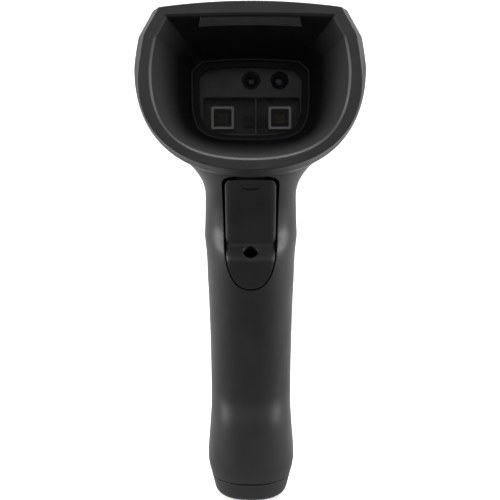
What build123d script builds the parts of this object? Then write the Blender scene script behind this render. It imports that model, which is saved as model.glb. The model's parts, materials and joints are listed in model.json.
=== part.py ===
from build123d import *

# Cordless handheld barcode scanner: a hooded head on a pistol grip, with a trigger, and a battery in the grip.
#
# Millimetres. The origin is the centre of the grip's flat base. +Z is up, the scanner looks along -Y, and +X is
# to the right as seen from in front of the hood. The grip's axis leans forward by RAKE degrees. Two systems of
# places are used: depth, x and height about the sight line in the head, and u (height along the grip's axis),
# x and v (reach across the axis, positive to the back) in the grip.

import os
from math import cos, radians, sin

os.makedirs("parts", exist_ok=True)

# ---- Driving dimensions -------------------------------------------------------------------------------------

RAKE = 10.0  # lean of the grip's axis from the vertical, degrees
NOSE_Y = -58.6  # the hood's flat front face
SIGHT_Z = 126.4  # height of the middle of the scan window
WALL = 2.2  # wall of the casings
SEAM = 0.15  # gap between two casings that are screwed together
SHADOW_GAP = 0.4  # visible gap behind the hood and above the battery cap
FIT = 0.05  # radial clearance of a pin or screw in its hole

HOOD_DEPTH = 22.0  # front face to the seam behind the hood
RIM_THICKNESS = 2.4
RIM_BEVEL = 4.5  # depth of the bevel round the front face
HEAD_LENGTH = 84.0
SPLIT_DROP = 8.0  # the head's side seam runs this far below the sight line

# Outline of the head from nose to tail: depth, half width, top and bottom about the sight line.
HEAD_SECTIONS = [
    (0.0, 31.5, 23.87, -23.6),
    (RIM_BEVEL, 33.0, 23.9, -24.95),
    (12.0, 33.1, 23.6, -24.6),
    (22.0, 32.5, 22.8, -24.1),
    (36.0, 30.2, 20.6, -23.6),
    (49.0, 26.6, 16.9, -22.6),
    (61.0, 22.0, 11.9, -21.2),
    (71.0, 16.8, 6.0, -19.2),
    (79.0, 11.0, -0.6, -16.8),
    (HEAD_LENGTH, 5.0, -6.4, -13.6),
]

# Shapes of a shield outline: the upper corner's x share and drop (in half widths), the facet's end (x share, and
# drop in heights), the height of the widest point, and how full the flank, the chin and the shoulder are.
FACE_SHAPE = (0.81, 0.056, 0.94, 0.19, 0.53, 0.60, 0.635, 0.32)
HEAD_SHAPE = (0.837, 0.054, 0.957, 0.183, 0.628, 0.72, 0.53, 0.144)
MOUTH_SHAPE = (0.84, 0.019, 0.946, 0.151, 0.608, 0.614, 0.758, 0.333)
WINDOW_SHAPE = (0.83, 0.044, 0.989, 0.137, 0.594, 0.88, 0.88, 0.5)

MOUTH = (27.96, 20.0, -20.33)  # the funnel's mouth: half width, top and bottom
MOUTH_BEVEL = 0.5  # edge between the front face and the funnel
THROAT = (18.0, 12.4, -12.5)  # the same where the funnel ends at the window's ledge
FUNNEL_DEPTH = 25.0
FUNNEL_WALL = 1.6
LAND_HALF_WIDTH, LAND_START, LAND_END = 14.0, 1.0, 4.6  # raised land on the funnel's roof
LEDGE_OPENING = (17.5, 11.9, -12.0)
GASKET_OPENING = (15.7, 9.95, -10.9)
LEDGE_THICKNESS = 1.2
POCKET = (18.2, 12.8, -12.8)
POCKET_END = 31.5
LIP_THICKNESS, LIP_LENGTH = 1.15, 3.2  # the hood's lip inside the casings
LIP_GAP = 0.15
BEAD_HEIGHT = 0.5  # the lip's snap bead

GASKET_DEPTH, GASKET_THICKNESS = 26.2, 1.0
WINDOW_DEPTH, WINDOW_THICKNESS = 27.2, 1.5
BEZEL_DEPTH, BEZEL_THICKNESS = 29.6, 1.4
CHASSIS_DEPTH, CHASSIS_END = 31.0, 36.5
CHASSIS_WALL = 1.4
CHASSIS_BOSS_X, CHASSIS_BOSS_Z, CHASSIS_BOSS_RADIUS = 23.0, 8.0, 2.3

LENS_HEIGHT = 6.5  # the row of the two lenses above the sight line
AIMER_X, IMAGER_X = 0.15, 8.95
AIMER_RADIUS, IMAGER_RADIUS = 2.79, 2.7
LAMP_XS, LAMP_HEIGHT = (-8.72, 9.1), -4.85
LAMP_FRAME, LAMP_FRAME_WALL, LAMP_FRAME_DEPTH = 7.0, 0.7, 31.2
BAND_LEFT, BAND_RIGHT, BAND_TOP, BAND_BOTTOM = -14.7, 15.2, 1.26, -10.1  # the dark lower band
DIVIDER_X = 1.6
LAMP_BOARD_DEPTH, BOARD_THICKNESS = 33.6, 1.2
ENGINE_LEFT, ENGINE_RIGHT, ENGINE_BOTTOM, ENGINE_TOP, ENGINE_END = -5.5, 15.5, 0.6, 12.2, 47.5

# Outline of the grip from base to neck: height along its axis, half width, reach to the front and to the back.
GRIP_SECTIONS = [
    (0.0, 11.0, 11.0, 13.4),
    (3.0, 12.3, 12.2, 14.9),
    (6.6, 13.2, 13.0, 15.9),
    (9.0, 13.8, 14.0, 16.6),
    (11.0, 14.15, 14.65, 16.95),
    (14.0, 14.25, 14.9, 17.2),
    (20.5, 13.8, 14.9, 17.3),
    (26.5, 13.35, 14.5, 17.2),
    (29.7, 13.15, 13.6, 17.2),
    (33.0, 13.1, 12.4, 17.2),
    (38.0, 13.1, 12.0, 17.4),
    (52.0, 13.3, 12.8, 18.2),
    (65.0, 13.65, 14.2, 18.9),
    (75.0, 14.05, 15.7, 19.2),
    (80.5, 14.25, 16.3, 19.2),
    (84.2, 14.6, 15.7, 19.1),
    (86.6, 14.85, 13.9, 19.0),
    (89.0, 14.8, 12.6, 18.9),
    (93.0, 14.65, 12.3, 18.8),
    (98.0, 14.55, 12.9, 18.9),
    (102.0, 14.75, 14.8, 19.8),
    (105.5, 16.1, 17.3, 21.8),
    (108.2, 18.0, 19.3, 24.4),
    (111.0, 21.0, 21.8, 27.8),
    (114.0, 24.5, 24.8, 32.0),
]
GRIP_SQUARENESS = 0.62  # 0.55 is an ellipse, 1 a rectangle

CAP_HEIGHT = 6.2  # the battery cap, along the grip's axis
BASE_EDGE = 2.4
CAP_HOLLOW_FLOOR, CAP_HOLLOW_INSET = 2.6, 5.4
SPIGOT_TOP, SPIGOT_INSET = 9.6, 3.3
SEAL_LOW, SEAL_HIGH, SEAL_INSET = 6.9, 8.6, 2.55
LOCK_V, LOCK_RADIUS, LOCK_TIP = -7.9, 1.1, 16.0  # the cap's captive screw
LOCK_HEAD_RADIUS, LOCK_HEAD_HEIGHT = 2.0, 1.6
INSERT_RADIUS, INSERT_LOW, INSERT_HIGH = 1.55, 12.0, 16.6
CONTACT_XS, CONTACT_VS = (-5.0, 5.0), (3.0, 8.0)

CELL_V, CELL_RADIUS, CELL_LOW, CELL_HIGH = 4.2, 9.15, 10.6, 75.6
CARRIER_RADIUS, CARRIER_TOP = 9.85, 77.0
CARRIER_OPEN_ANGLE = 110.0
RIB_HEIGHTS, RIB_THICKNESS, RIB_CLEARANCE = (22.0, 38.0, 54.0, 70.0), 1.4, 0.4

TRIGGER_HALF_WIDTH = 7.85
TRIGGER_TOP, TRIGGER_TOP_CORNER, TRIGGER_SHOULDER, TRIGGER_TIP = 106.35, 103.9, 88.0, 71.8
TRIGGER_GAP, TRIGGER_GAP_FLARE, TRIGGER_GAP_ABOVE = 0.45, 0.5, 1.0  # round it, more at its top sides, above it
TRIGGER_WALL = 1.9
TRIGGER_SKIRT = -8.4  # back edge of the trigger's sides
TONGUE_REACH, TONGUE_LEAN = 15.0, 0.18  # the lower tongue's reach at the tip, and its growth up the grip
FINGER_REACH, FINGER_U, FINGER_CURVE = 12.4, 90.5, 0.0185  # the finger's hollow: least reach, where, curvature
STEP_LOW, STEP_HIGH = 81.2, 85.7  # the steep face between the tongue and the hollow
TONGUE_CROWN, FINGER_CROWN = 2.1, 1.7  # how much less the face reaches at its edges
NAIL_U, NAIL_V, NAIL_HALF_WIDTH = 103.36, -15.0, 3.1  # the small arc pressed into the face near its top
TRIGGER_SPACING = 1.5
PIVOT_U, PIVOT_V, PIVOT_RADIUS, PIVOT_HALF_LENGTH, BARREL_RADIUS = 77.0, -9.4, 1.0, 9.6, 2.2
HOLE_U, HOLE_V, HOLE_RADIUS, HOLE_TILT = 83.55, -14.4, 2.38, 55.0  # the sounder's port through the trigger
SWITCH_U, SWITCH_SIZE, SWITCH_V = 95.0, 6.0, -2.6
PLUNGER_RADIUS, PLUNGER_FRONT, PLUNGER_LENGTH, PLUNGER_FIT = 1.7, -4.7, 3.1, 0.08
NUB_RADIUS, NUB_TIP = 1.3, -5.0
SPRING_U, SPRING_FRONT, SPRING_BACK = 102.2, -11.2, -1.0
SPRING_RADIUS, SPRING_WIRE, SPRING_TURNS = 1.95, 0.22, 6

BOARD_V, BOARD_LOW, BOARD_WIDE_FROM, BOARD_HIGH = 1.0, 81.6, 109.5, 119.0
BOARD_HALF_WIDTH, BOARD_WIDE_HALF_WIDTH = 7.4, 13.5
BOARD_SCREWS = [(-5.6, 92.5), (5.6, 92.5), (-11.0, 112.6), (11.0, 112.6)]
SHELL_SCREWS = [(-10.2, 80.5), (10.2, 80.5), (-10.6, 103.0), (10.6, 103.0)]
SHELL_BOSS_RADIUS, SHELL_BOSS_FRONT = 2.4, -6.5
SCREW_RADIUS, SCREW_HEAD_RADIUS, SCREW_HEAD_HEIGHT = 1.0, 1.8, 1.4
SCREW_SEAT = 9.0  # reach of the shell screws' seats in the rear casing

INDICATOR_FRONT, INDICATOR_BACK, INDICATOR_HALF_WIDTH = 27.0, 38.0, 2.5
INDICATOR_POST_X, INDICATOR_BOARD_Z = 4.7, 15.0


# ---- Planes -------------------------------------------------------------------------------------------------


def grip_point(x, u, v):
    lean = radians(RAKE)
    return (x, -u * sin(lean) + v * cos(lean), u * cos(lean) + v * sin(lean))


def grip_plane(u, v=0.0, x=0.0):
    """Across the grip; local y runs to the back and the normal up the axis."""
    lean = radians(RAKE)
    return Plane(origin=grip_point(x, u, v), x_dir=(1, 0, 0), z_dir=(0, -sin(lean), cos(lean)))


def face_plane(u=0.0, v=0.0, x=0.0):
    """Along the grip; local y runs up the axis and the normal to the front."""
    lean = radians(RAKE)
    return Plane(origin=grip_point(x, u, v), x_dir=(1, 0, 0), z_dir=(0, -cos(lean), -sin(lean)))


def side_plane(x=0.0, u=0.0, v=0.0):
    """The grip from its side; local x runs to the back, local y up the axis and the normal along +X."""
    lean = radians(RAKE)
    return Plane(origin=grip_point(x, u, v), x_dir=(0, cos(lean), sin(lean)), z_dir=(1, 0, 0))


def head_plane(depth, x=0.0, height=0.0):
    """Upright, at a depth behind the front face; local y is height and the normal runs to the front."""
    return Plane(origin=(x, NOSE_Y + depth, SIGHT_Z + height), x_dir=(1, 0, 0), z_dir=(0, -1, 0))


# ---- Outlines and plain solids ------------------------------------------------------------------------------


def between(start, end, share):
    return tuple(a + (b - a) * share for a, b in zip(start, end))


def grip_outline(u, half_width, front, back, inset=0.0):
    """A closed oval across the grip, in four quarters."""
    w, f, b = half_width - inset, front - inset, back - inset
    ends = [(w, 0), (0, b), (-w, 0), (0, -f)]
    with BuildSketch(grip_plane(u)) as outline:
        with BuildLine():
            for start, end in zip(ends, ends[1:] + ends[:1]):
                corner = (start[0] + end[0], start[1] + end[1])
                near_start = between(start, corner, GRIP_SQUARENESS)
                near_end = between(end, corner, GRIP_SQUARENESS)
                Bezier(start, near_start, near_end, end)
        make_face()
    return outline.sketch


def shield_outline(depth, half_width, top, bottom, shape=HEAD_SHAPE, grow=0.0):
    """Arched top, two faceted upper corners, bowed sides and a rounded chin."""
    corner_share, corner_drop, facet_share, facet_drop, belly, flank, chin, shoulder = shape
    w, t, b = half_width + grow, top + grow, bottom - grow
    corner = (corner_share * w, t - corner_drop * w)
    facet = (facet_share * w, t - facet_drop * (t - b))
    widest = (w, b + belly * (t - b))
    below_facet = between(facet, (2 * facet[0] - corner[0], 2 * facet[1] - corner[1]), 0.12)
    above_widest = between(widest, (w, facet[1]), shoulder)
    lower_side = between(widest, (w, b), flank)
    chin_side = between((0, b), (w, b), chin)
    with BuildSketch(head_plane(depth)) as outline:
        with BuildLine():
            Line(corner, facet)
            Bezier(facet, below_facet, above_widest, widest)
            Bezier(widest, lower_side, chin_side, (0, b))
            mirror(about=Plane.YZ)
            ThreePointArc((-corner[0], corner[1]), (0, t), corner)
        make_face()
    return outline.sketch


def shield_block(size, start, stop, grow=0.0, shape=WINDOW_SHAPE):
    """A shield outline run straight back between two depths."""
    with BuildPart() as block:
        extrude(shield_outline(start, *size, shape=shape, grow=grow), amount=start - stop)
    return block.part


def head_loft(inset):
    """The head, drawn in by inset: a straight bevel behind the front face, then one smooth body."""
    face = shield_outline(*HEAD_SECTIONS[0], shape=FACE_SHAPE, grow=-inset)
    sections = [shield_outline(*row, grow=-inset) for row in HEAD_SECTIONS[1:]]
    with BuildPart() as head:
        loft(sections=[face, sections[0]], ruled=True)
        loft(sections=sections)
    return head.part


def grip_loft(inset):
    with BuildPart() as grip:
        loft(sections=[grip_outline(*row, inset=inset) for row in GRIP_SECTIONS])
    return grip.part


def funnel_loft(grow):
    """The sighting funnel from its mouth to the window's ledge."""
    with BuildPart() as funnel:
        mouth = shield_outline(0, *MOUTH, shape=MOUTH_SHAPE, grow=grow)
        loft(sections=[mouth, shield_outline(FUNNEL_DEPTH, *THROAT, shape=WINDOW_SHAPE, grow=grow)])
    return funnel.part


def rod(plane, radius, length):
    """A round bar that starts on a plane and runs along its normal, or against it if length is negative."""
    with BuildPart() as bar:
        with BuildSketch(plane):
            Circle(radius)
        extrude(amount=length)
    return bar.part


def bar(plane, width, height, length):
    """A square-edged bar, placed as a rod is."""
    with BuildPart() as block:
        with BuildSketch(plane):
            Rectangle(width, height)
        extrude(amount=length)
    return block.part


def head_slab(start, stop, reach=120.0):
    return bar(head_plane(start), reach, reach, start - stop)


def grip_slab(low, high, reach=120.0):
    return bar(grip_plane(low), reach, reach, high - low)


def front_region(margin):
    """What lies below the head's side seam and in front of the grip's axis, drawn in by margin."""
    split_z = SIGHT_Z - SPLIT_DROP - margin
    low = grip_point(0, -10, -margin)
    rise = (split_z - low[2]) / cos(radians(RAKE))
    high = grip_point(0, -10 + rise, -margin)
    nose = NOSE_Y - 20
    with BuildPart() as region:
        with BuildSketch(Plane.YZ):
            Polygon((low[1], low[2]), (high[1], high[2]), (nose, high[2]), (nose, low[2]), align=None)
        extrude(amount=50, both=True)
    return region.part


def screw(plane, radius, length, head_radius=SCREW_HEAD_RADIUS, head_height=SCREW_HEAD_HEIGHT):
    """A pan-head screw with a cross recess: its head stands behind the plane, its shank runs along the normal."""
    with BuildPart() as fastener:
        with BuildSketch(plane):
            Circle(head_radius)
        extrude(amount=-head_height)
        fillet(fastener.faces().sort_by(Axis(plane.origin, plane.z_dir))[0].edges(), 0.4 * head_height)
        with BuildSketch(plane.offset(-head_height)):
            Rectangle(1.2 * head_radius, 0.3 * head_radius)
            Rectangle(0.3 * head_radius, 1.2 * head_radius)
        extrude(amount=0.5 * head_height, mode=Mode.SUBTRACT)
        with BuildSketch(plane):
            Circle(radius)
        extrude(amount=length)
    return fastener.part


def save(piece, name):
    piece.part.label = name
    export_step(piece.part, f"parts/{name}.step")


# ---- Master shapes ------------------------------------------------------------------------------------------

head_outer = head_loft(0)
head_inner = head_loft(WALL)
grip_outer = grip_loft(0)
grip_inner = grip_loft(WALL)
funnel = funnel_loft(0)

with BuildPart() as body_outer:
    add(head_outer)
    add(grip_outer)

with BuildPart() as body_inner:
    add(head_inner)
    add(grip_inner)

with BuildPart() as hood_space:
    add(head_loft(-SHADOW_GAP))
    add(head_slab(-10, HOOD_DEPTH + SHADOW_GAP), mode=Mode.INTERSECT)

with BuildPart() as casing_space:
    add(body_outer.part)
    add(grip_slab(-20, CAP_HEIGHT + SHADOW_GAP), mode=Mode.SUBTRACT)
    add(hood_space.part, mode=Mode.SUBTRACT)

with BuildPart() as bead_groove:
    add(head_loft(WALL - BEAD_HEIGHT - LIP_GAP))
    add(head_slab(HOOD_DEPTH + 1.8, HOOD_DEPTH + LIP_LENGTH + LIP_GAP), mode=Mode.INTERSECT)



def trigger_prism(grow, flare=0.0, above=0.0):
    """The trigger's outline from the front, grown on every side and run through the grip's front wall."""
    w, top, tip = TRIGGER_HALF_WIDTH + grow, TRIGGER_TOP + grow + above, TRIGGER_TIP - grow
    top_w, corner = w + flare, TRIGGER_TOP_CORNER + above
    with BuildPart() as prism:
        with BuildSketch(face_plane()):
            with BuildLine():
                Line((top_w, corner), (w, TRIGGER_SHOULDER))
                Bezier((w, TRIGGER_SHOULDER), (w, 0.5 * (TRIGGER_SHOULDER + tip)), (0.79 * w, tip), (0, tip))
                Bezier((top_w, corner), (top_w, top), (0.7 * top_w, top), (0, top))
                mirror(about=Plane.YZ)
            make_face()
        extrude(amount=30)
    return prism.part


# ---- Hood ---------------------------------------------------------------------------------------------------


def lip_ring(inset, thickness, start, stop):
    """A ring that follows the head's outline between two depths."""
    with BuildPart() as ring:
        add(head_loft(inset))
        add(head_loft(inset + thickness), mode=Mode.SUBTRACT)
        add(head_slab(start, stop), mode=Mode.INTERSECT)
    return ring.part


def build_hood():
    lip_inset = WALL + LIP_GAP
    lip_end = HOOD_DEPTH + LIP_LENGTH
    with BuildPart() as hollow:
        add(head_inner)
        add(head_slab(RIM_THICKNESS, HOOD_DEPTH), mode=Mode.INTERSECT)
    with BuildPart() as hood:
        add(head_outer)
        add(head_slab(-10, HOOD_DEPTH), mode=Mode.INTERSECT)
        add(hollow.part, mode=Mode.SUBTRACT)
        add(funnel_loft(FUNNEL_WALL))
        add(shield_block(POCKET, FUNNEL_DEPTH - 0.8, POCKET_END, grow=1.9))
        for x in (-CHASSIS_BOSS_X, CHASSIS_BOSS_X):
            for z in (-CHASSIS_BOSS_Z, CHASSIS_BOSS_Z):
                add(rod(head_plane(8, x, z), CHASSIS_BOSS_RADIUS, 8 - (CHASSIS_END - 2.0)))
        add(lip_ring(WALL - 0.3, LIP_THICKNESS + 0.3 + LIP_GAP, HOOD_DEPTH - 2.5, HOOD_DEPTH))
        add(lip_ring(lip_inset, LIP_THICKNESS, HOOD_DEPTH - 0.5, lip_end))
        add(lip_ring(lip_inset - BEAD_HEIGHT, LIP_THICKNESS, lip_end - 1.1, lip_end))
        add(funnel, mode=Mode.SUBTRACT)
        add(mouth_bevel(), mode=Mode.SUBTRACT)
        add(shield_block(LEDGE_OPENING, FUNNEL_DEPTH - 1, POCKET_END + 1), mode=Mode.SUBTRACT)
        add(shield_block(POCKET, FUNNEL_DEPTH + LEDGE_THICKNESS, POCKET_END + 1), mode=Mode.SUBTRACT)
        for x in (-CHASSIS_BOSS_X, CHASSIS_BOSS_X):
            for z in (-CHASSIS_BOSS_Z, CHASSIS_BOSS_Z):
                add(rod(head_plane(CHASSIS_END, x, z), SCREW_RADIUS + FIT, 9.0), mode=Mode.SUBTRACT)
        add(build_land())
    return hood


def mouth_bevel():
    with BuildPart() as bevel:
        outer = shield_outline(0, *MOUTH, shape=MOUTH_SHAPE, grow=MOUTH_BEVEL)
        inner = shield_outline(1.2 * MOUTH_BEVEL, *MOUTH, shape=MOUTH_SHAPE, grow=-0.6 * MOUTH_BEVEL)
        loft(sections=[outer, inner], ruled=True)
    return bevel.part


def build_land():
    """A thin raised land on the funnel's roof, wider at the back, whose face tips towards the front."""
    roof_front = MOUTH[1] - (MOUTH[1] - THROAT[1]) * LAND_START / FUNNEL_DEPTH
    roof_back = MOUTH[1] - (MOUTH[1] - THROAT[1]) * LAND_END / FUNNEL_DEPTH
    with BuildPart() as land:
        for depth, half_width, top in (
            (LAND_START, LAND_HALF_WIDTH, roof_front),
            (LAND_END, 1.055 * LAND_HALF_WIDTH, roof_back),
        ):
            drop = 0.2 if depth == LAND_START else 0.62
            with BuildSketch(head_plane(depth)):
                with BuildLine():
                    Polyline((-half_width, top + 0.6), (-half_width, top - drop - 0.45))
                    ThreePointArc(
                        (-half_width, top - drop - 0.45), (0, top - drop), (half_width, top - drop - 0.45)
                    )
                    Polyline((half_width, top - drop - 0.45), (half_width, top + 0.6), (-half_width, top + 0.6))
                make_face()
        loft(ruled=True)
    return land.part


save(build_hood(), "hood")


# ---- Scan window and optics ---------------------------------------------------------------------------------

with BuildPart() as window_gasket:
    add(shield_block(POCKET, GASKET_DEPTH, GASKET_DEPTH + GASKET_THICKNESS, grow=-0.1))
    add(shield_block(GASKET_OPENING, GASKET_DEPTH - 1, WINDOW_DEPTH + 1), mode=Mode.SUBTRACT)
save(window_gasket, "window_gasket")

with BuildPart() as scan_window:
    add(shield_block(POCKET, WINDOW_DEPTH, WINDOW_DEPTH + WINDOW_THICKNESS, grow=-0.15))
save(scan_window, "scan_window")


def band_sketch(depth, shrink=0.0):
    width, height = BAND_RIGHT - BAND_LEFT, BAND_TOP - BAND_BOTTOM
    middle = head_plane(depth, (BAND_RIGHT + BAND_LEFT) / 2, (BAND_TOP + BAND_BOTTOM) / 2)
    with BuildSketch(middle) as band:
        RectangleRounded(width - 2 * shrink, height - 2 * shrink, 0.8)
    return band.sketch


with BuildPart() as optics_bezel:
    add(shield_block(POCKET, BEZEL_DEPTH, CHASSIS_DEPTH, grow=-0.3))
    add(shield_block(POCKET, WINDOW_DEPTH + WINDOW_THICKNESS, BEZEL_DEPTH, grow=-0.3))
    add(shield_block(POCKET, WINDOW_DEPTH, BEZEL_DEPTH, grow=-1.3), mode=Mode.SUBTRACT)
    extrude(band_sketch(BEZEL_DEPTH), amount=-BEZEL_THICKNESS, mode=Mode.SUBTRACT)
    for x, radius in ((AIMER_X, AIMER_RADIUS), (IMAGER_X, IMAGER_RADIUS)):
        add(rod(head_plane(BEZEL_DEPTH, x, LENS_HEIGHT), radius + 0.12, -BEZEL_THICKNESS), mode=Mode.SUBTRACT)
    middle = (BAND_TOP + BAND_BOTTOM) / 2
    add(bar(head_plane(BEZEL_DEPTH + 0.5, DIVIDER_X, middle), 0.45, BAND_TOP - BAND_BOTTOM, 0.5 - BEZEL_THICKNESS))
save(optics_bezel, "optics_bezel")

with BuildPart() as optical_chassis:
    add(shield_block(POCKET, CHASSIS_DEPTH, CHASSIS_END, grow=-0.4))
    add(shield_block(POCKET, CHASSIS_DEPTH, CHASSIS_END - 1.5, grow=-0.4 - CHASSIS_WALL), mode=Mode.SUBTRACT)
    for z in (-CHASSIS_BOSS_Z, CHASSIS_BOSS_Z):
        for side in (-1, 1):
            ear = head_plane(CHASSIS_END - 2.0, side * (CHASSIS_BOSS_X - 2.6), z)
            add(bar(ear, 6.5, 4.6, -2.0))
            add(rod(head_plane(CHASSIS_END - 2.0, side * CHASSIS_BOSS_X, z), CHASSIS_BOSS_RADIUS, -2.0))
            add(
                rod(head_plane(CHASSIS_END - 3, side * CHASSIS_BOSS_X, z), SCREW_RADIUS + FIT, -4.0),
                mode=Mode.SUBTRACT,
            )
    add(rod(head_plane(CHASSIS_END - 2, AIMER_X, LENS_HEIGHT), AIMER_RADIUS + FIT, -4), mode=Mode.SUBTRACT)
    add(rod(head_plane(CHASSIS_END - 2, IMAGER_X, LENS_HEIGHT), IMAGER_RADIUS + FIT, -4), mode=Mode.SUBTRACT)
save(optical_chassis, "optical_chassis")

with BuildPart() as chassis_screws:
    for x in (-CHASSIS_BOSS_X, CHASSIS_BOSS_X):
        for z in (-CHASSIS_BOSS_Z, CHASSIS_BOSS_Z):
            add(screw(head_plane(CHASSIS_END, x, z), SCREW_RADIUS, 8.0))
save(chassis_screws, "chassis_screws")

with BuildPart() as illumination_board:
    extrude(band_sketch(LAMP_BOARD_DEPTH, shrink=-0.7), amount=-BOARD_THICKNESS)
    add(shield_block(POCKET, 30, 36, grow=-0.5 - CHASSIS_WALL), mode=Mode.INTERSECT)
save(illumination_board, "illumination_board")

with BuildPart() as led_bezels:
    for x in LAMP_XS:
        with BuildSketch(head_plane(LAMP_FRAME_DEPTH, x, LAMP_HEIGHT)):
            RectangleRounded(LAMP_FRAME, LAMP_FRAME, 0.5)
            inner = LAMP_FRAME - 2 * LAMP_FRAME_WALL
            RectangleRounded(inner, inner, 0.3, mode=Mode.SUBTRACT)
        extrude(amount=LAMP_FRAME_DEPTH - LAMP_BOARD_DEPTH)
save(led_bezels, "led_bezels")

with BuildPart() as illumination_leds:
    for x in LAMP_XS:
        add(bar(head_plane(LAMP_BOARD_DEPTH, x, LAMP_HEIGHT), 3.0, 3.0, 0.7))
        add(rod(head_plane(LAMP_BOARD_DEPTH - 0.7, x, LAMP_HEIGHT), 0.9, 0.15))
save(illumination_leds, "illumination_leds")

with BuildPart() as led_lenses:
    for x in LAMP_XS:
        inner = LAMP_FRAME - 2 * LAMP_FRAME_WALL - 0.1
        with BuildSketch(head_plane(LAMP_FRAME_DEPTH + 0.5, x, LAMP_HEIGHT)):
            RectangleRounded(inner, inner, 0.4)
        extrude(amount=-0.7)
save(led_lenses, "led_lenses")

with BuildPart() as proximity_sensor:
    with BuildSketch(head_plane(LAMP_BOARD_DEPTH, 1.35, -5.85)):
        RectangleRounded(7.2, 3.3, 0.3)
    extrude(amount=1.1)
save(proximity_sensor, "proximity_sensor")


def lens_barrel(x, radius, bore, mouth_depth):
    """A threaded lens cell with a flared mouth."""
    with BuildPart() as barrel:
        add(rod(head_plane(mouth_depth, x, LENS_HEIGHT), radius, mouth_depth - CHASSIS_END))
        add(rod(head_plane(mouth_depth, x, LENS_HEIGHT), bore, mouth_depth - CHASSIS_END), mode=Mode.SUBTRACT)
        mouth = barrel.edges().filter_by(GeomType.CIRCLE).group_by(Axis.Y)[0].sort_by(SortBy.RADIUS)[0]
        chamfer(mouth, 0.5)
    return barrel


def domed_lens(x, radius, back_depth, edge, rise):
    """A plano-convex lens, its dome towards the front."""
    ball_radius = (radius**2 + rise**2) / (2 * rise)
    with BuildPart() as lens:
        add(rod(head_plane(back_depth, x, LENS_HEIGHT), radius, edge + rise))
        with Locations((x, NOSE_Y + back_depth - edge - rise + ball_radius, SIGHT_Z + LENS_HEIGHT)):
            Sphere(ball_radius, mode=Mode.INTERSECT)
    return lens


save(lens_barrel(AIMER_X, AIMER_RADIUS, 1.7, 29.9), "aimer_barrel")
save(lens_barrel(IMAGER_X, IMAGER_RADIUS, 2.1, 29.8), "imager_barrel")
save(domed_lens(AIMER_X, 1.65, 32.6, 0.9, 0.7), "aimer_lens")
save(domed_lens(IMAGER_X, 2.05, 32.6, 0.9, 1.0), "imager_lens")

engine_width, engine_height = ENGINE_RIGHT - ENGINE_LEFT, ENGINE_TOP - ENGINE_BOTTOM
engine_x, engine_z = (ENGINE_RIGHT + ENGINE_LEFT) / 2, (ENGINE_TOP + ENGINE_BOTTOM) / 2

with BuildPart() as engine_housing:
    add(bar(head_plane(CHASSIS_END, engine_x, engine_z), engine_width, engine_height, CHASSIS_END - ENGINE_END))
    hollow = head_plane(CHASSIS_END + 1.2, engine_x, engine_z)
    add(bar(hollow, engine_width - 2.4, engine_height - 2.4, -20), mode=Mode.SUBTRACT)
    add(rod(head_plane(CHASSIS_END - 1, AIMER_X, LENS_HEIGHT), 1.9, -4), mode=Mode.SUBTRACT)
    add(rod(head_plane(CHASSIS_END - 1, IMAGER_X, LENS_HEIGHT), 2.1, -4), mode=Mode.SUBTRACT)
save(engine_housing, "engine_housing")

with BuildPart() as image_sensor_board:
    add(bar(head_plane(ENGINE_END, engine_x, engine_z), engine_width, engine_height, -BOARD_THICKNESS))
    add(bar(head_plane(ENGINE_END, IMAGER_X, LENS_HEIGHT), 6.0, 5.0, 1.1))
save(image_sensor_board, "image_sensor_board")

with BuildPart() as engine_flex:
    back = NOSE_Y + ENGINE_END + BOARD_THICKNESS
    board_back = grip_point(0, 115.0, BOARD_V + BOARD_THICKNESS)
    with BuildSketch(Plane.YZ):
        with BuildLine():
            route = [
                (back + 0.2, SIGHT_Z + 5.0),
                (back + 0.2, SIGHT_Z - 6.5),
                (board_back[1] + 3.2, board_back[2] + 0.6),
                (board_back[1] + 0.9, board_back[2] + 0.16),
            ]
            FilletPolyline(*route, radius=1.4)
        trace(line_width=0.3)
    extrude(amount=4.0, both=True)
save(engine_flex, "engine_flex")

with BuildPart() as flex_connectors:
    add(bar(head_plane(ENGINE_END + BOARD_THICKNESS + 0.4, 0, 4.6), 10.0, 2.4, -0.8))
    add(bar(face_plane(115.0, BOARD_V + BOARD_THICKNESS, 0), 10.0, 2.4, -0.7))
save(flex_connectors, "flex_connectors")


# ---- Main board and what is on it ---------------------------------------------------------------------------

with BuildPart() as main_board:
    with BuildSketch(face_plane(0, BOARD_V)):
        with Locations((0, (BOARD_LOW + BOARD_HIGH) / 2)):
            Rectangle(2 * BOARD_HALF_WIDTH, BOARD_HIGH - BOARD_LOW)
        with Locations((0, (BOARD_WIDE_FROM + BOARD_HIGH) / 2)):
            Rectangle(2 * BOARD_WIDE_HALF_WIDTH, BOARD_HIGH - BOARD_WIDE_FROM)
        with Locations(*BOARD_SCREWS):
            Circle(SCREW_RADIUS + FIT, mode=Mode.SUBTRACT)
        with Locations((0, SPRING_U)):
            Circle(2.8, mode=Mode.SUBTRACT)
    extrude(amount=-BOARD_THICKNESS)
save(main_board, "main_board")

with BuildPart() as board_screws:
    for x, u in BOARD_SCREWS:
        front = face_plane(u, BOARD_V, x)
        facing_back = Plane(origin=front.origin, x_dir=front.x_dir, z_dir=-front.z_dir)
        add(screw(facing_back, SCREW_RADIUS, 6.0, head_radius=1.7, head_height=1.1))
save(board_screws, "board_screws")

board_back_v = BOARD_V + BOARD_THICKNESS

with BuildPart() as radio_module:
    add(bar(face_plane(86.6, board_back_v, 0), 11.0, 7.4, -0.6))
    add(bar(face_plane(86.2, board_back_v + 0.6, 0), 9.6, 5.8, -1.6))
save(radio_module, "radio_module")

with BuildPart() as processor:
    add(bar(face_plane(111.4, board_back_v, -1.0), 8.0, 4.0, -1.1))
save(processor, "processor")

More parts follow.
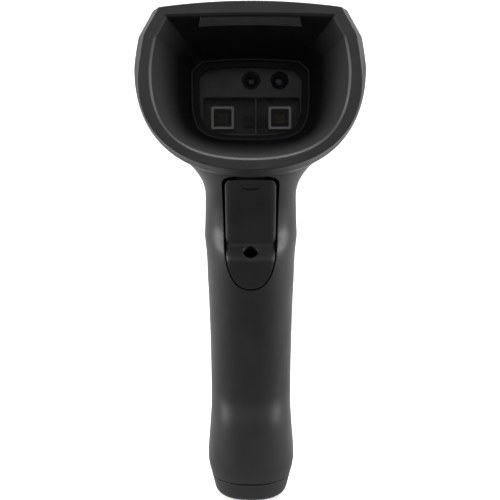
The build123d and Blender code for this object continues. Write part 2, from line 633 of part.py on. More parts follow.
with BuildPart() as sounder:
    with BuildSketch(face_plane(87.0, BOARD_V)):
        Circle(4.2)
    extrude(amount=3.6)
    with BuildSketch(face_plane(87.0, BOARD_V - 3.6)):
        Circle(0.9)
    extrude(amount=-1.5, mode=Mode.SUBTRACT)
save(sounder, "sounder")

with BuildPart() as trigger_switch:
    add(bar(face_plane(SWITCH_U, BOARD_V), SWITCH_SIZE, SWITCH_SIZE, BOARD_V - SWITCH_V))
    add(rod(face_plane(SWITCH_U, SWITCH_V), PLUNGER_RADIUS + PLUNGER_FIT, -2.5), mode=Mode.SUBTRACT)
save(trigger_switch, "trigger_switch")

with BuildPart() as switch_plunger:
    add(rod(face_plane(SWITCH_U, PLUNGER_FRONT), PLUNGER_RADIUS, -PLUNGER_LENGTH))
save(switch_plunger, "switch_plunger")


# ---- Trigger ------------------------------------------------------------------------------------------------


def trigger_face(u):
    """Reach of the trigger's face in the middle, and how much less it is at the edges."""
    share = min(max((u - STEP_LOW) / (STEP_HIGH - STEP_LOW), 0.0), 1.0)
    step = share * share * (3 - 2 * share)
    tongue = TONGUE_REACH + TONGUE_LEAN * (min(u, STEP_LOW) - TRIGGER_TIP)
    hollow = FINGER_REACH + FINGER_CURVE * max(u - FINGER_U, 0.0) ** 2
    return tongue + step * (hollow - tongue), TONGUE_CROWN + step * (FINGER_CROWN - TONGUE_CROWN)


def trigger_loft(inset):
    """The trigger's crowned face, closed at the back edge of its sides."""
    w = TRIGGER_HALF_WIDTH + 0.05
    low = TRIGGER_TIP - TRIGGER_SPACING
    count = round((TRIGGER_TOP + 1.5 - low) / TRIGGER_SPACING)
    with BuildPart() as solid:
        for i in range(count + 1):
            u = low + i * TRIGGER_SPACING
            reach, crown = trigger_face(u)
            f = reach - inset
            with BuildSketch(grip_plane(u)):
                with BuildLine():
                    Bezier((0, -f), (0.7 * w, -f), (w, -f), (w, crown - f))
                    Bezier((0, -f), (-0.7 * w, -f), (-w, -f), (-w, crown - f))
                    Polyline((w, crown - f), (w, TRIGGER_SKIRT), (-w, TRIGGER_SKIRT), (-w, crown - f))
                make_face()
        loft()
    return solid.part


with BuildPart() as trigger_hollow:
    add(trigger_loft(TRIGGER_WALL))
    add(trigger_prism(-TRIGGER_WALL), mode=Mode.INTERSECT)

with BuildPart() as trigger:
    add(trigger_loft(0))
    add(trigger_prism(0), mode=Mode.INTERSECT)
    add(trigger_hollow.part, mode=Mode.SUBTRACT)
    add(rod(side_plane(-5.6, PIVOT_U, PIVOT_V), BARREL_RADIUS, 11.2))
    add(bar(grip_plane(PIVOT_U - 1.0, -12.8), 11.2, 5.2, 2.0))
    add(rod(face_plane(SWITCH_U, NUB_TIP), NUB_RADIUS, 6.4))
    add(rod(face_plane(SPRING_U, SPRING_FRONT + 0.7), 3.1, 2.4))
    add(rod(face_plane(SPRING_U, SPRING_FRONT + 1.7), 2.45, 1.7), mode=Mode.SUBTRACT)
    add(bar(grip_plane(104.2, -14.4), 9.0, 1.4, 3.55))
    add(rod(side_plane(-15, PIVOT_U, PIVOT_V), PIVOT_RADIUS + FIT, 30), mode=Mode.SUBTRACT)
    tilt = radians(RAKE - HOLE_TILT)
    port = Plane(origin=grip_point(0, HOLE_U, HOLE_V), x_dir=(1, 0, 0), z_dir=(0, -cos(tilt), -sin(tilt)))
    add(rod(port.offset(4.0), HOLE_RADIUS, -6.6), mode=Mode.SUBTRACT)
    with BuildSketch(face_plane(NAIL_U, NAIL_V)):
        with BuildLine():
            ThreePointArc((-NAIL_HALF_WIDTH, 0.35), (0, -0.45), (NAIL_HALF_WIDTH, 0.35))
            ThreePointArc((-NAIL_HALF_WIDTH, 0.35), (0, 0.05), (NAIL_HALF_WIDTH, 0.35))
        make_face()
    extrude(amount=4, mode=Mode.SUBTRACT)
save(trigger, "trigger")

with BuildPart() as trigger_pin:
    add(rod(side_plane(-PIVOT_HALF_LENGTH, PIVOT_U, PIVOT_V), PIVOT_RADIUS, 2 * PIVOT_HALF_LENGTH))
save(trigger_pin, "trigger_pin")

with BuildPart() as trigger_spring:
    pitch = (SPRING_BACK - SPRING_FRONT - 4 * SPRING_WIRE) / SPRING_TURNS
    with BuildLine() as coil:
        Helix(pitch=pitch, height=pitch * SPRING_TURNS, radius=SPRING_RADIUS)
    with BuildSketch(Plane(origin=coil.line @ 0, z_dir=coil.line % 0)):
        Circle(SPRING_WIRE)
    sweep()
seat = face_plane(SPRING_U, SPRING_BACK - SPRING_WIRE)
trigger_spring.part = seat.location * trigger_spring.part
save(trigger_spring, "trigger_spring")


# ---- Casings ------------------------------------------------------------------------------------------------


def pack_ribs():
    """Ribs across the grip that guide the battery; they follow the wall and leave a round way through."""
    with BuildPart() as ribs:
        for u in RIB_HEIGHTS:
            add(grip_slab(u, u + RIB_THICKNESS))
        add(grip_loft(WALL - 0.4), mode=Mode.INTERSECT)
        add(rod(grip_plane(0, CELL_V), CARRIER_RADIUS + RIB_CLEARANCE, 120), mode=Mode.SUBTRACT)
    return ribs.part


def casing_additions():
    """Bosses, posts and ribs of both casings, clipped to the outside of the body."""
    with BuildPart() as extras:
        add(pack_ribs())
        for x, u in SHELL_SCREWS:
            add(rod(face_plane(u, SHELL_BOSS_FRONT, x), SHELL_BOSS_RADIUS, -30))
        for x, u in BOARD_SCREWS:
            add(rod(face_plane(u, board_back_v, x), 2.1, -45))
        add(rod(face_plane(SPRING_U, SPRING_BACK, 0), 2.3, -40))
        add(rod(face_plane(SPRING_U, SPRING_BACK, 0), 1.5, 2.2))
        for side in (-1, 1):
            add(bar(side_plane(side * 8.4, PIVOT_U, PIVOT_V), 5.4, 5.4, side * 3.0))
        add(bar(grip_plane(INSERT_LOW - 0.6, LOCK_V - 2.6), 6.4, 9.0, INSERT_HIGH - INSERT_LOW + 1.6))
        for x in (-INDICATOR_POST_X, INDICATOR_POST_X):
            add(bar(head_plane(33, x, INDICATOR_BOARD_Z + 0.8 + 4), 1.4, 8.0, 2.0))
        add(casing_space.part, mode=Mode.INTERSECT)
        add(rod(grip_plane(0, CELL_V), CARRIER_RADIUS + 0.35, CARRIER_TOP + 0.6), mode=Mode.SUBTRACT)
    return extras.part


def cut_casing_holes():
    """Every hole that runs through the casings, taken from the part being built."""
    for x, u in SHELL_SCREWS:
        add(rod(face_plane(u, SCREW_SEAT, x), SCREW_RADIUS + FIT, 14.2), mode=Mode.SUBTRACT)
        add(rod(face_plane(u, SCREW_SEAT, x), SCREW_HEAD_RADIUS + 0.25, -30), mode=Mode.SUBTRACT)
    for x, u in BOARD_SCREWS:
        add(rod(face_plane(u, board_back_v - 1, x), SCREW_RADIUS + FIT, -6.5), mode=Mode.SUBTRACT)
    length = 2 * PIVOT_HALF_LENGTH + 0.1
    add(rod(side_plane(-length / 2, PIVOT_U, PIVOT_V), PIVOT_RADIUS + 0.02, length), mode=Mode.SUBTRACT)
    add(rod(grip_plane(0, LOCK_V), LOCK_RADIUS + 0.5, 30), mode=Mode.SUBTRACT)
    insert = rod(grip_plane(INSERT_LOW, LOCK_V), INSERT_RADIUS + 0.02, INSERT_HIGH - INSERT_LOW)
    add(insert, mode=Mode.SUBTRACT)
    add(bead_groove.part, mode=Mode.SUBTRACT)
    slot_depth = (INDICATOR_FRONT + INDICATOR_BACK) / 2
    slot = bar(
        Plane(origin=(0, NOSE_Y + slot_depth, SIGHT_Z + 15), x_dir=(1, 0, 0), z_dir=(0, 0, 1)),
        2 * INDICATOR_HALF_WIDTH,
        INDICATOR_BACK - INDICATOR_FRONT,
        15,
    )
    add(slot, mode=Mode.SUBTRACT)


additions = casing_additions()

with BuildPart() as casing_walls:
    add(casing_space.part)
    add(body_inner.part, mode=Mode.SUBTRACT)
    add(rod(grip_plane(0, CELL_V), CARRIER_RADIUS + 0.35, CARRIER_TOP + 0.6), mode=Mode.SUBTRACT)
    add(additions)

with BuildPart() as front_shell:
    add(casing_walls.part)
    add(front_region(SEAM / 2), mode=Mode.INTERSECT)
    add(trigger_prism(TRIGGER_GAP, TRIGGER_GAP_FLARE, TRIGGER_GAP_ABOVE - TRIGGER_GAP), mode=Mode.SUBTRACT)
    cut_casing_holes()
save(front_shell, "front_shell")

with BuildPart() as rear_shell:
    add(casing_walls.part)
    add(front_region(-SEAM / 2), mode=Mode.SUBTRACT)
    cut_casing_holes()
save(rear_shell, "rear_shell")

with BuildPart() as shell_screws:
    for x, u in SHELL_SCREWS:
        add(screw(face_plane(u, SCREW_SEAT, x), SCREW_RADIUS, 13.5))
save(shell_screws, "shell_screws")

with BuildPart() as lock_insert:
    add(rod(grip_plane(INSERT_LOW, LOCK_V), INSERT_RADIUS, INSERT_HIGH - INSERT_LOW))
    add(rod(grip_plane(INSERT_LOW, LOCK_V), LOCK_RADIUS + 0.08, INSERT_HIGH - INSERT_LOW), mode=Mode.SUBTRACT)
save(lock_insert, "lock_insert")


# ---- Top indicator ------------------------------------------------------------------------------------------


def indicator_block(grow, low, high):
    middle = (INDICATOR_FRONT + INDICATOR_BACK) / 2
    base = Plane(origin=(0, NOSE_Y + middle, SIGHT_Z + low), x_dir=(1, 0, 0), z_dir=(0, 0, 1))
    width = 2 * (INDICATOR_HALF_WIDTH + grow)
    return bar(base, width, INDICATOR_BACK - INDICATOR_FRONT + 2 * grow, high - low)


with BuildPart() as indicator_flange:
    add(head_loft(WALL + 0.05))
    add(indicator_block(0.9, 15, 30), mode=Mode.INTERSECT)

with BuildPart() as indicator_lens:
    add(head_outer)
    add(indicator_block(-0.1, 15, 30), mode=Mode.INTERSECT)
    add(indicator_flange.part)
    add(head_loft(WALL + 1.0), mode=Mode.SUBTRACT)
save(indicator_lens, "indicator_lens")

with BuildPart() as indicator_board:
    add(indicator_block(3.0, INDICATOR_BOARD_Z, INDICATOR_BOARD_Z + 0.8))
save(indicator_board, "indicator_board")

with BuildPart() as indicator_leds:
    for depth in (30.0, 35.0):
        origin = (0, NOSE_Y + depth, SIGHT_Z + INDICATOR_BOARD_Z + 0.8)
        add(bar(Plane(origin=origin, x_dir=(1, 0, 0), z_dir=(0, 0, 1)), 2.6, 2.2, 0.7))
save(indicator_leds, "indicator_leds")


# ---- Battery, its cap and its contacts ----------------------------------------------------------------------

with BuildPart() as cap_spigot:
    add(grip_loft(SPIGOT_INSET))
    add(grip_slab(CAP_HEIGHT - 1, SPIGOT_TOP), mode=Mode.INTERSECT)

with BuildPart() as cap_hollow:
    add(grip_loft(CAP_HOLLOW_INSET))
    add(grip_slab(CAP_HOLLOW_FLOOR, SPIGOT_TOP), mode=Mode.INTERSECT)

with BuildPart() as seal_groove:
    add(grip_loft(0.5))
    add(grip_loft(SPIGOT_INSET + 0.6), mode=Mode.SUBTRACT)
    add(grip_slab(SEAL_LOW, SEAL_HIGH), mode=Mode.INTERSECT)

with BuildPart() as battery_end_cap:
    add(grip_outer)
    add(grip_slab(0, CAP_HEIGHT), mode=Mode.INTERSECT)
    fillet(battery_end_cap.faces().sort_by(Axis((0, 0, 0), grip_plane(0).z_dir))[0].edges(), BASE_EDGE)
    add(cap_spigot.part)
    add(cap_hollow.part, mode=Mode.SUBTRACT)
    add(seal_groove.part, mode=Mode.SUBTRACT)
    add(rod(grip_plane(-1, LOCK_V), LOCK_RADIUS + 0.08, 30), mode=Mode.SUBTRACT)
    add(rod(grip_plane(-1, LOCK_V), LOCK_HEAD_RADIUS + 0.08, LOCK_HEAD_HEIGHT + 1.3), mode=Mode.SUBTRACT)
    for x in CONTACT_XS:
        for v in CONTACT_VS:
            add(rod(grip_plane(-1, v, x), 1.25, 2.2), mode=Mode.SUBTRACT)
            add(rod(grip_plane(-1, v, x), 0.62, 8), mode=Mode.SUBTRACT)
save(battery_end_cap, "battery_end_cap")

with BuildPart() as cap_seal:
    add(grip_loft(SEAL_INSET))
    add(grip_loft(SPIGOT_INSET + 0.55), mode=Mode.SUBTRACT)
    add(grip_slab(SEAL_LOW + 0.05, SEAL_HIGH - 0.05), mode=Mode.INTERSECT)
save(cap_seal, "cap_seal")

with BuildPart() as cap_screw:
    add(rod(grip_plane(0.2, LOCK_V), LOCK_HEAD_RADIUS, LOCK_HEAD_HEIGHT))
    add(rod(grip_plane(0.2, LOCK_V), LOCK_RADIUS, LOCK_TIP - 0.2))
    add(bar(grip_plane(0.2, LOCK_V), 6.0, 0.8, 0.8), mode=Mode.SUBTRACT)
save(cap_screw, "cap_screw")

with BuildPart() as charging_contacts:
    for x in CONTACT_XS:
        for v in CONTACT_VS:
            add(rod(grip_plane(0.25, v, x), 1.2, 0.9))
            add(rod(grip_plane(0.25, v, x), 0.6, 4.5))
save(charging_contacts, "charging_contacts")

with BuildPart() as battery_carrier:
    with BuildSketch(grip_plane(CELL_LOW - 1, CELL_V)):
        Circle(CARRIER_RADIUS)
    extrude(amount=CARRIER_TOP - CELL_LOW + 1)
    with BuildSketch(grip_plane(CELL_LOW, CELL_V)):
        Circle(CELL_RADIUS + 0.1)
    extrude(amount=CELL_HIGH - CELL_LOW, mode=Mode.SUBTRACT)
    with BuildSketch(grip_plane(CELL_LOW + 5, CELL_V - CARRIER_RADIUS)):
        Rectangle(2 * CARRIER_RADIUS * sin(radians(CARRIER_OPEN_ANGLE / 2)), 2 * 4.0)
    extrude(amount=CELL_HIGH - CELL_LOW - 10, mode=Mode.SUBTRACT)
save(battery_carrier, "battery_carrier")

with BuildPart() as battery_cell:
    with BuildSketch(grip_plane(CELL_LOW, CELL_V)):
        Circle(CELL_RADIUS)
    extrude(amount=CELL_HIGH - CELL_LOW)
save(battery_cell, "battery_cell")

with BuildPart() as contact_block:
    add(bar(grip_plane(CARRIER_TOP + 0.7, 3.0), 13.0, 11.0, BOARD_LOW - 0.1 - CARRIER_TOP - 0.7))
    for x in (-4.0, 0.0, 4.0):
        add(rod(grip_plane(CARRIER_TOP, 5.5, x), 0.72, 3.4), mode=Mode.SUBTRACT)
save(contact_block, "contact_block")

with BuildPart() as contact_pins:
    for x in (-4.0, 0.0, 4.0):
        add(rod(grip_plane(CARRIER_TOP + 0.35, 5.5, x), 0.7, 3.0))
save(contact_pins, "contact_pins")
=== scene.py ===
import json
import math

import bmesh
import bpy
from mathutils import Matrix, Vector


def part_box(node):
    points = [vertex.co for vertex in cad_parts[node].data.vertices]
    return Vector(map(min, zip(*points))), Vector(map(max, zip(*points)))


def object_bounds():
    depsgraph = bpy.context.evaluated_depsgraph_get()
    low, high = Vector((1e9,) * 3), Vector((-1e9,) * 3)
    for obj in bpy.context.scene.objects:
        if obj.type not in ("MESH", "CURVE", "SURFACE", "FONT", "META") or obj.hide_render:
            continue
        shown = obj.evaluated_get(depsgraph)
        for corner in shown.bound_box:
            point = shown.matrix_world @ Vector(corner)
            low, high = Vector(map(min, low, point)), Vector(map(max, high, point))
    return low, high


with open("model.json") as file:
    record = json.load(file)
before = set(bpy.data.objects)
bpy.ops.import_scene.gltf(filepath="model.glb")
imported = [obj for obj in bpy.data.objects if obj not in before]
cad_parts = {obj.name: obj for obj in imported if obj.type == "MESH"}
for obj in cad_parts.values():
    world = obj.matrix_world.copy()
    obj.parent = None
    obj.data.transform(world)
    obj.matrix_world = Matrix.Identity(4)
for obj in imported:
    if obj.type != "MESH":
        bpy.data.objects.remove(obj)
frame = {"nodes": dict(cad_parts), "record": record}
cad_low, cad_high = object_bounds()
nodes = frame["nodes"]
slot_of = {row["node"]: row["material_slot"] for row in frame["record"]["subparts"]}

# ---- Sizes, in metres ---------------------------------------------------------------------------------------

EYE_HEIGHT = 0.0804  # the camera looks level, from this far above the grip's base
EYE_DISTANCE = 0.280  # in front of the hood's rim
EYE_TURN = 0.35  # degrees round to the right
LENS_MM, SENSOR_MM = 72.0, 36.0
CLIP_START = 0.01
FUNNEL_EDGE = 0.0005  # the funnel's duller material, painted darker as shade, starts this far behind the front face
FUNNEL_END = 0.0011  # and stops this far short of the window
FUNNEL_INWARD = 0.5  # a face belongs to the funnel if it looks inward at least this squarely
LAND_HALF_WIDTH, LAND_END = 0.0149, 0.0047  # the raised land on the funnel's roof, painted paler as a highlight
LAND_NORMAL = -0.33  # and how much its face tips to the front
GRAIN = 0.00022  # size of the spark-eroded texture on the casings
SHARP_ANGLE = 28  # degrees; flatter edges than this are shaded smooth

# ---- Surroundings -------------------------------------------------------------------------------------------

FLOOR_GLOW = 0.6  # the sheet's own light, as the camera sees it
FRONT_GLOW, BACK_GLOW = 0.14, 1.0  # and as everything else sees it, in front of the scanner and behind it
GLOW_FRONT_Y, GLOW_BACK_Y = -0.10, 0.12  # where the one turns into the other, in metres
FLOOR_FRONT, FLOOR_BACK, FLOOR_WIDTH = -1.6, 0.9, 3.0
FLOOR_BEND, FLOOR_TOP = 0.5, 1.8  # radius of the sheet's bend, and how high it goes
BEND_STEPS = 16
FLOOR_GAP = 0.0002  # between the sheet and the scanner
WORLD_SEEN = 0.9
WORLD_FADES = (("Y", -1.0, 0.6, 0.26, 1.0), ("Z", -0.5, 0.35, 0.3, 1.0))  # axis, from, to, dim, bright
LIGHTS = (  # name, place, width, height, watts
    ("top_light", (0, -0.25, 0.85), 0.6, 0.35, 6.0),
    ("front_light", (0, -0.95, 0.50), 0.5, 0.25, 0.15),
    ("left_light", (-0.75, -0.22, 0.30), 0.18, 0.5, 5.0),
    ("right_light", (0.75, -0.22, 0.30), 0.18, 0.5, 5.0),
)

hood_low, hood_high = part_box("hood")


# ---- Camera, floor and light --------------------------------------------------------------------------------


def make_camera():
    data = bpy.data.cameras.new("camera")
    data.lens = LENS_MM
    data.sensor_width = SENSOR_MM
    data.clip_start = CLIP_START
    camera = bpy.data.objects.new("camera", data)
    turn = math.radians(EYE_TURN)
    camera.location = (EYE_DISTANCE * math.sin(turn), hood_low.y - EYE_DISTANCE * math.cos(turn), EYE_HEIGHT)
    camera.rotation_euler = (math.radians(90), 0, turn)
    bpy.context.scene.collection.objects.link(camera)
    bpy.context.scene.camera = camera


def make_floor():
    """A pale sheet under the scanner that curves up behind it."""
    flat_end = FLOOR_BACK - FLOOR_BEND
    profile = [(FLOOR_FRONT, 0.0), (flat_end, 0.0)]
    for i in range(1, BEND_STEPS + 1):
        angle = math.radians(90) * i / BEND_STEPS
        profile.append((flat_end + FLOOR_BEND * math.sin(angle), FLOOR_BEND - FLOOR_BEND * math.cos(angle)))
    profile.append((FLOOR_BACK, FLOOR_TOP))
    mesh = bmesh.new()
    rows = [[mesh.verts.new((side * FLOOR_WIDTH / 2, y, z)) for side in (-1, 1)] for y, z in profile]
    for near, far in zip(rows, rows[1:]):
        mesh.faces.new((near[0], near[1], far[1], far[0]))
    data = bpy.data.meshes.new("floor")
    mesh.to_mesh(data)
    mesh.free()
    for polygon in data.polygons:
        polygon.use_smooth = True
    floor = bpy.data.objects.new("floor", data)
    floor.location.z = cad_low.z - FLOOR_GAP
    bpy.context.scene.collection.objects.link(floor)
    data.materials.append(floor_material())


def floor_material():
    """White to the camera. To everything else it only glows, dimly in front of the scanner and brightly behind."""
    material = bpy.data.materials.new("floor_white")
    material.use_nodes = True
    tree = material.node_tree
    seen = tree.nodes["Principled BSDF"]
    seen.inputs["Base Color"].default_value = (0.8, 0.8, 0.8, 1)
    seen.inputs["Roughness"].default_value = 0.9
    seen.inputs["Specular IOR Level"].default_value = 0.1
    seen.inputs["Emission Color"].default_value = (1, 1, 1, 1)
    seen.inputs["Emission Strength"].default_value = FLOOR_GLOW
    unseen = tree.nodes.new("ShaderNodeEmission")
    place = tree.nodes.new("ShaderNodeTexCoord")
    split = tree.nodes.new("ShaderNodeSeparateXYZ")
    fade = tree.nodes.new("ShaderNodeMapRange")
    fade.inputs["From Min"].default_value = GLOW_FRONT_Y
    fade.inputs["From Max"].default_value = GLOW_BACK_Y
    fade.inputs["To Min"].default_value = FRONT_GLOW
    fade.inputs["To Max"].default_value = BACK_GLOW
    mix = tree.nodes.new("ShaderNodeMixShader")
    path = tree.nodes.new("ShaderNodeLightPath")
    tree.links.new(place.outputs["Object"], split.inputs["Vector"])
    tree.links.new(split.outputs["Y"], fade.inputs["Value"])
    tree.links.new(fade.outputs["Result"], unseen.inputs["Strength"])
    tree.links.new(path.outputs["Is Camera Ray"], mix.inputs[0])
    tree.links.new(unseen.outputs["Emission"], mix.inputs[1])
    tree.links.new(seen.outputs["BSDF"], mix.inputs[2])
    tree.links.new(mix.outputs["Shader"], tree.nodes["Material Output"].inputs["Surface"])
    return material


def area_light(name, place, target, width, height, power):
    data = bpy.data.lights.new(name, "AREA")
    data.energy = power
    data.shape = "RECTANGLE"
    data.size = width
    data.size_y = height
    light = bpy.data.objects.new(name, data)
    light.location = place
    light.rotation_euler = (Vector(target) - Vector(place)).to_track_quat("-Z", "Y").to_euler()
    bpy.context.scene.collection.objects.link(light)


def make_world():
    """Pale to the camera. As a light it is dim in front and below, brighter to the sides and above."""
    world = bpy.data.worlds.new("studio")
    world.use_nodes = True
    tree = world.node_tree
    place = tree.nodes.new("ShaderNodeTexCoord")
    split = tree.nodes.new("ShaderNodeSeparateXYZ")
    tree.links.new(place.outputs["Generated"], split.inputs["Vector"])
    parts = []
    for axis, low, high, dim, bright in WORLD_FADES:
        fade = tree.nodes.new("ShaderNodeMapRange")
        fade.inputs["From Min"].default_value = low
        fade.inputs["From Max"].default_value = high
        fade.inputs["To Min"].default_value = dim
        fade.inputs["To Max"].default_value = bright
        tree.links.new(split.outputs[axis], fade.inputs["Value"])
        parts.append(fade.outputs["Result"])
    product = tree.nodes.new("ShaderNodeMath")
    product.operation = "MULTIPLY"
    tree.links.new(parts[0], product.inputs[0])
    tree.links.new(parts[1], product.inputs[1])
    strength = tree.nodes.new("ShaderNodeMix")
    path = tree.nodes.new("ShaderNodeLightPath")
    tree.links.new(path.outputs["Is Camera Ray"], strength.inputs[0])
    tree.links.new(product.outputs["Value"], strength.inputs[2])
    strength.inputs[3].default_value = WORLD_SEEN
    background = tree.nodes["Background"]
    background.inputs["Color"].default_value = (1, 1, 1, 1)
    tree.links.new(strength.outputs[0], background.inputs["Strength"])
    bpy.context.scene.world = world


def make_light():
    middle = (cad_low + cad_high) / 2
    for name, place, width, height, power in LIGHTS:
        area_light(name, place, middle, width, height, power)
    bpy.context.scene.view_settings.view_transform = "Standard"


# ---- Materials ----------------------------------------------------------------------------------------------


class Material:
    """A node material that is built up from the Principled shader outwards."""

    def __init__(self, name, color, roughness, metallic=0.0, specular=0.5):
        self.material = bpy.data.materials.new(name)
        self.material.use_nodes = True
        self.tree = self.material.node_tree
        self.shader = self.tree.nodes["Principled BSDF"]
        self.shader.inputs["Base Color"].default_value = (*color, 1)
        self.shader.inputs["Roughness"].default_value = roughness
        self.shader.inputs["Metallic"].default_value = metallic
        self.shader.inputs["Specular IOR Level"].default_value = specular
        self.place = self.node("ShaderNodeTexCoord").outputs["Object"]
        self.normal = None

    def node(self, kind, **values):
        made = self.tree.nodes.new(kind)
        for name, value in values.items():
            setattr(made, name, value)
        return made

    def link(self, output, socket):
        self.tree.links.new(output, socket)

    def noise(self, size, detail=2.0, stretch=None, roughness=0.5):
        """Noise whose features are about size metres across."""
        texture = self.node("ShaderNodeTexNoise")
        texture.inputs["Scale"].default_value = 1.0 / size
        texture.inputs["Detail"].default_value = detail
        texture.inputs["Roughness"].default_value = roughness
        place = self.place
        if stretch:
            mapping = self.node("ShaderNodeMapping")
            mapping.inputs["Scale"].default_value = stretch
            self.link(place, mapping.inputs["Vector"])
            place = mapping.outputs["Vector"]
        self.link(place, texture.inputs["Vector"])
        return texture.outputs["Fac"]

    def between(self, value, low, high):
        """The value's middle range, spread to run from low to high."""
        spread = self.node("ShaderNodeMapRange")
        spread.inputs["From Min"].default_value = 0.3
        spread.inputs["From Max"].default_value = 0.7
        spread.inputs["To Min"].default_value = low
        spread.inputs["To Max"].default_value = high
        self.link(value, spread.inputs["Value"])
        return spread.outputs["Result"]

    def vary_color(self, value, dark, light):
        ramp = self.node("ShaderNodeMix", data_type="RGBA")
        ramp.inputs[6].default_value = (*dark, 1)
        ramp.inputs[7].default_value = (*light, 1)
        self.link(self.between(value, 0.0, 1.0), ramp.inputs[0])
        self.link(ramp.outputs[2], self.shader.inputs["Base Color"])

    def vary_roughness(self, value, low, high):
        self.link(self.between(value, low, high), self.shader.inputs["Roughness"])

    def bump(self, value, height):
        """A height in metres, on top of any bump made before."""
        bump = self.node("ShaderNodeBump")
        bump.inputs["Strength"].default_value = 1.0
        bump.inputs["Distance"].default_value = height
        self.link(value, bump.inputs["Height"])
        if self.normal:
            self.link(self.normal, bump.inputs["Normal"])
        self.normal = bump.outputs["Normal"]
        self.link(self.normal, self.shader.inputs["Normal"])

    def soft_edges(self, radius):
        """Rounds edges in the shading, as a moulded edge is."""
        bevel = self.node("ShaderNodeBevel", samples=6)
        bevel.inputs["Radius"].default_value = radius
        self.normal = bevel.outputs["Normal"]
        self.link(self.normal, self.shader.inputs["Normal"])


def moulded_plastic(name, color, roughness, grain_height, edge=0.0004, spread=0.06, lift=1.25):
    """A moulding: fine grain, slow changes of tone and gloss, soft edges."""
    m = Material(name, color, roughness)
    m.soft_edges(edge)
    light = tuple(c * lift for c in color)
    m.vary_color(m.noise(0.006, 3.0), color, light)
    m.vary_roughness(m.noise(0.011, 2.0), roughness - spread, roughness + spread)
    m.bump(m.noise(GRAIN, 1.0), grain_height)
    return m.material


def brushed_metal(name, color, roughness, stretch=(1, 1, 12)):
    m = Material(name, color, roughness, metallic=1.0)
    m.soft_edges(0.0001)
    m.vary_color(m.noise(0.002, 2.0), tuple(0.8 * c for c in color), color)
    m.vary_roughness(m.noise(0.0004, 2.0, stretch), roughness - 0.08, roughness + 0.1)
    m.bump(m.noise(0.00015, 1.0, stretch), 0.000004)
    return m.material


def board_material(name):
    """Black solder mask with copper lines that show faintly through it."""
    m = Material(name, (0.012, 0.012, 0.012), 0.4)
    bricks = m.node("ShaderNodeTexBrick")
    bricks.inputs["Scale"].default_value = 420.0
    bricks.inputs["Mortar Size"].default_value = 0.06
    bricks.inputs["Color1"].default_value = (0.016, 0.016, 0.015, 1)
    bricks.inputs["Color2"].default_value = (0.020, 0.020, 0.019, 1)
    bricks.inputs["Mortar"].default_value = (0.034, 0.033, 0.030, 1)
    m.link(m.place, bricks.inputs["Vector"])
    m.link(bricks.outputs["Color"], m.shader.inputs["Base Color"])
    m.bump(bricks.outputs["Fac"], 0.00002)
    m.vary_roughness(m.noise(0.004, 2.0), 0.25, 0.4)
    return m.material


def clear_material(name, color, alpha, roughness):
    """A clear or smoked pane: mostly see-through, with a clean gloss and faint unevenness."""
    m = Material(name, color, roughness, specular=0.6)
    m.shader.inputs["Alpha"].default_value = alpha
    m.vary_roughness(m.noise(0.01, 2.0), roughness, roughness + 0.03)
    m.vary_color(m.noise(0.02, 1.0), tuple(0.9 * c for c in color), color)
    m.bump(m.noise(0.02, 0.0), 0.0000006)
    return m.material


def lens_material(name, tint):
    """Coated glass over a dark bore: near black, almost mirror-smooth, with the tint as its cast."""
    m = Material(name, (0.01, 0.01, 0.012), 0.04, specular=0.9)
    m.shader.inputs["Coat Weight"].default_value = 1.0
    m.shader.inputs["Coat Roughness"].default_value = 0.02
    m.shader.inputs["Coat Tint"].default_value = (*tint, 1)
    m.vary_color(m.noise(0.002, 1.0), (0.006, 0.006, 0.009), (0.018, 0.016, 0.024))
    m.vary_roughness(m.noise(0.003, 1.0), 0.03, 0.07)
    return m.material


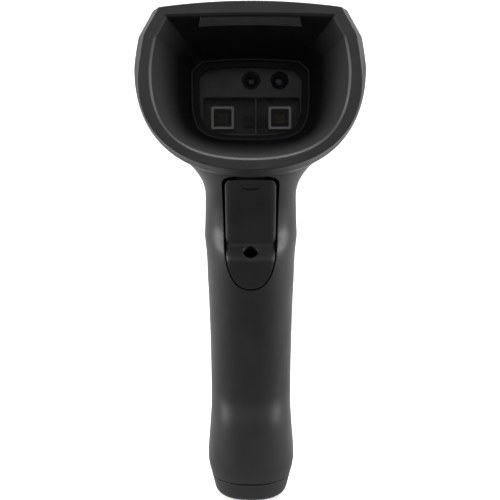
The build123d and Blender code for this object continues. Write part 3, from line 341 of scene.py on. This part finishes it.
def make_materials():
    return {
        "shell_plastic": moulded_plastic("shell_black", (0.020, 0.020, 0.021), 0.46, 0.000010),
        "hood_plastic": moulded_plastic("hood_black", (0.018, 0.018, 0.019), 0.46, 0.000010),
        "trigger_plastic": moulded_plastic("trigger_black", (0.017, 0.017, 0.018), 0.43, 0.000008),
        "cap_plastic": moulded_plastic("cap_black", (0.020, 0.020, 0.021), 0.46, 0.000010),
        "seal_rubber": moulded_plastic("seal_rubber", (0.010, 0.010, 0.010), 0.75, 0.000006),
        "bezel_grey": moulded_plastic("bezel_grey", (0.15, 0.15, 0.153), 0.6, 0.000006, edge=0.0002),
        "lamp_frame_grey": moulded_plastic("lamp_frame_grey", (0.70, 0.70, 0.69), 0.5, 0.000004, edge=0.0001),
        "chassis_plastic": moulded_plastic("chassis_black", (0.014, 0.014, 0.014), 0.6, 0.000006),
        "carrier_plastic": moulded_plastic("carrier_black", (0.03, 0.03, 0.03), 0.55, 0.000006),
        "chip_black": moulded_plastic("chip_black", (0.012, 0.012, 0.013), 0.5, 0.000004, edge=0.0001),
        "connector_white": moulded_plastic("connector_cream", (0.45, 0.43, 0.36), 0.5, 0.000004, edge=0.0001),
        "cell_wrap": moulded_plastic("cell_sleeve", (0.015, 0.07, 0.18), 0.3, 0.000004),
        "flex_amber": moulded_plastic("flex_amber", (0.30, 0.13, 0.02), 0.35, 0.000003),
        "indicator_smoke": moulded_plastic("indicator_smoke", (0.05, 0.052, 0.055), 0.2, 0.000002),
        "led_chip": moulded_plastic("led_phosphor", (0.60, 0.50, 0.18), 0.3, 0.000003, edge=0.0001),
        "board_mask": board_material("board_mask"),
        "window_clear": clear_material("window_clear", (0.015, 0.015, 0.016), 0.10, 0.02),
        "lamp_lens": clear_material("lamp_lens", (0.02, 0.019, 0.018), 0.5, 0.08),
        "lens_glass": lens_material("lens_glass", (0.8, 0.75, 1.0)),
        "barrel_black": brushed_metal("barrel_black", (0.03, 0.03, 0.032), 0.42, (1, 12, 1)),
        "engine_metal": brushed_metal("engine_black", (0.04, 0.04, 0.042), 0.5),
        "shield_can": brushed_metal("shield_tin", (0.55, 0.55, 0.54), 0.35),
        "screw_steel": brushed_metal("screw_black", (0.12, 0.12, 0.12), 0.38),
        "pin_steel": brushed_metal("pin_blackened", (0.05, 0.05, 0.05), 0.35, (12, 1, 1)),
        "spring_steel": brushed_metal("spring_steel", (0.5, 0.5, 0.5), 0.3),
        "contact_gold": brushed_metal("contact_gold", (0.85, 0.60, 0.24), 0.25),
        "insert_brass": brushed_metal("insert_brass", (0.70, 0.50, 0.22), 0.3),
        # funnel: the rougher, duller finish is real; its darker colour is painted shade inside the hood's funnel
        "funnel": moulded_plastic("funnel_painted_shade", (0.0065, 0.0065, 0.0065), 0.7, 0.000012, edge=0.00035),
        # land: a paler copy of the hood plastic, a painted highlight on the land's forward-tipped face
        "land": moulded_plastic("land_painted_highlight", (0.10, 0.10, 0.10), 0.5, 0.000006, edge=0.0001),
    }


def dress_nodes(materials):
    for name, node in nodes.items():
        node.data.materials.clear()
        node.data.materials.append(materials[slot_of[name]])
        for polygon in node.data.polygons:
            polygon.use_smooth = True
        node.data.set_sharp_from_angle(angle=math.radians(SHARP_ANGLE))


def paint_funnel(hood, materials):
    """The funnel inside the hood gets a rougher, duller copy of the hood plastic painted darker as shade, and the
    land on its roof a paler copy, a painted highlight.
    """
    hood.data.materials.append(materials["funnel"])
    hood.data.materials.append(materials["land"])
    window_low, window_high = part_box("scan_window")
    axis = (window_low + window_high) / 2
    for polygon in hood.data.polygons:
        inward = Vector((axis.x - polygon.center.x, 0, axis.z - polygon.center.z))
        depth = polygon.center.y - hood_low.y
        if depth < FUNNEL_EDGE or depth > window_low.y - hood_low.y - FUNNEL_END or inward.length == 0:
            continue
        if polygon.normal.dot(inward.normalized()) < FUNNEL_INWARD:
            continue
        # faces on the land get the painted highlight, the other funnel faces the painted shade
        on_land = polygon.center.z > axis.z and abs(polygon.center.x) < LAND_HALF_WIDTH and depth < LAND_END
        on_land = on_land and polygon.normal.y < LAND_NORMAL
        polygon.material_index = 2 if on_land else 1


make_camera()
make_floor()
make_world()
make_light()
materials = make_materials()
dress_nodes(materials)
paint_funnel(nodes["hood"], materials)
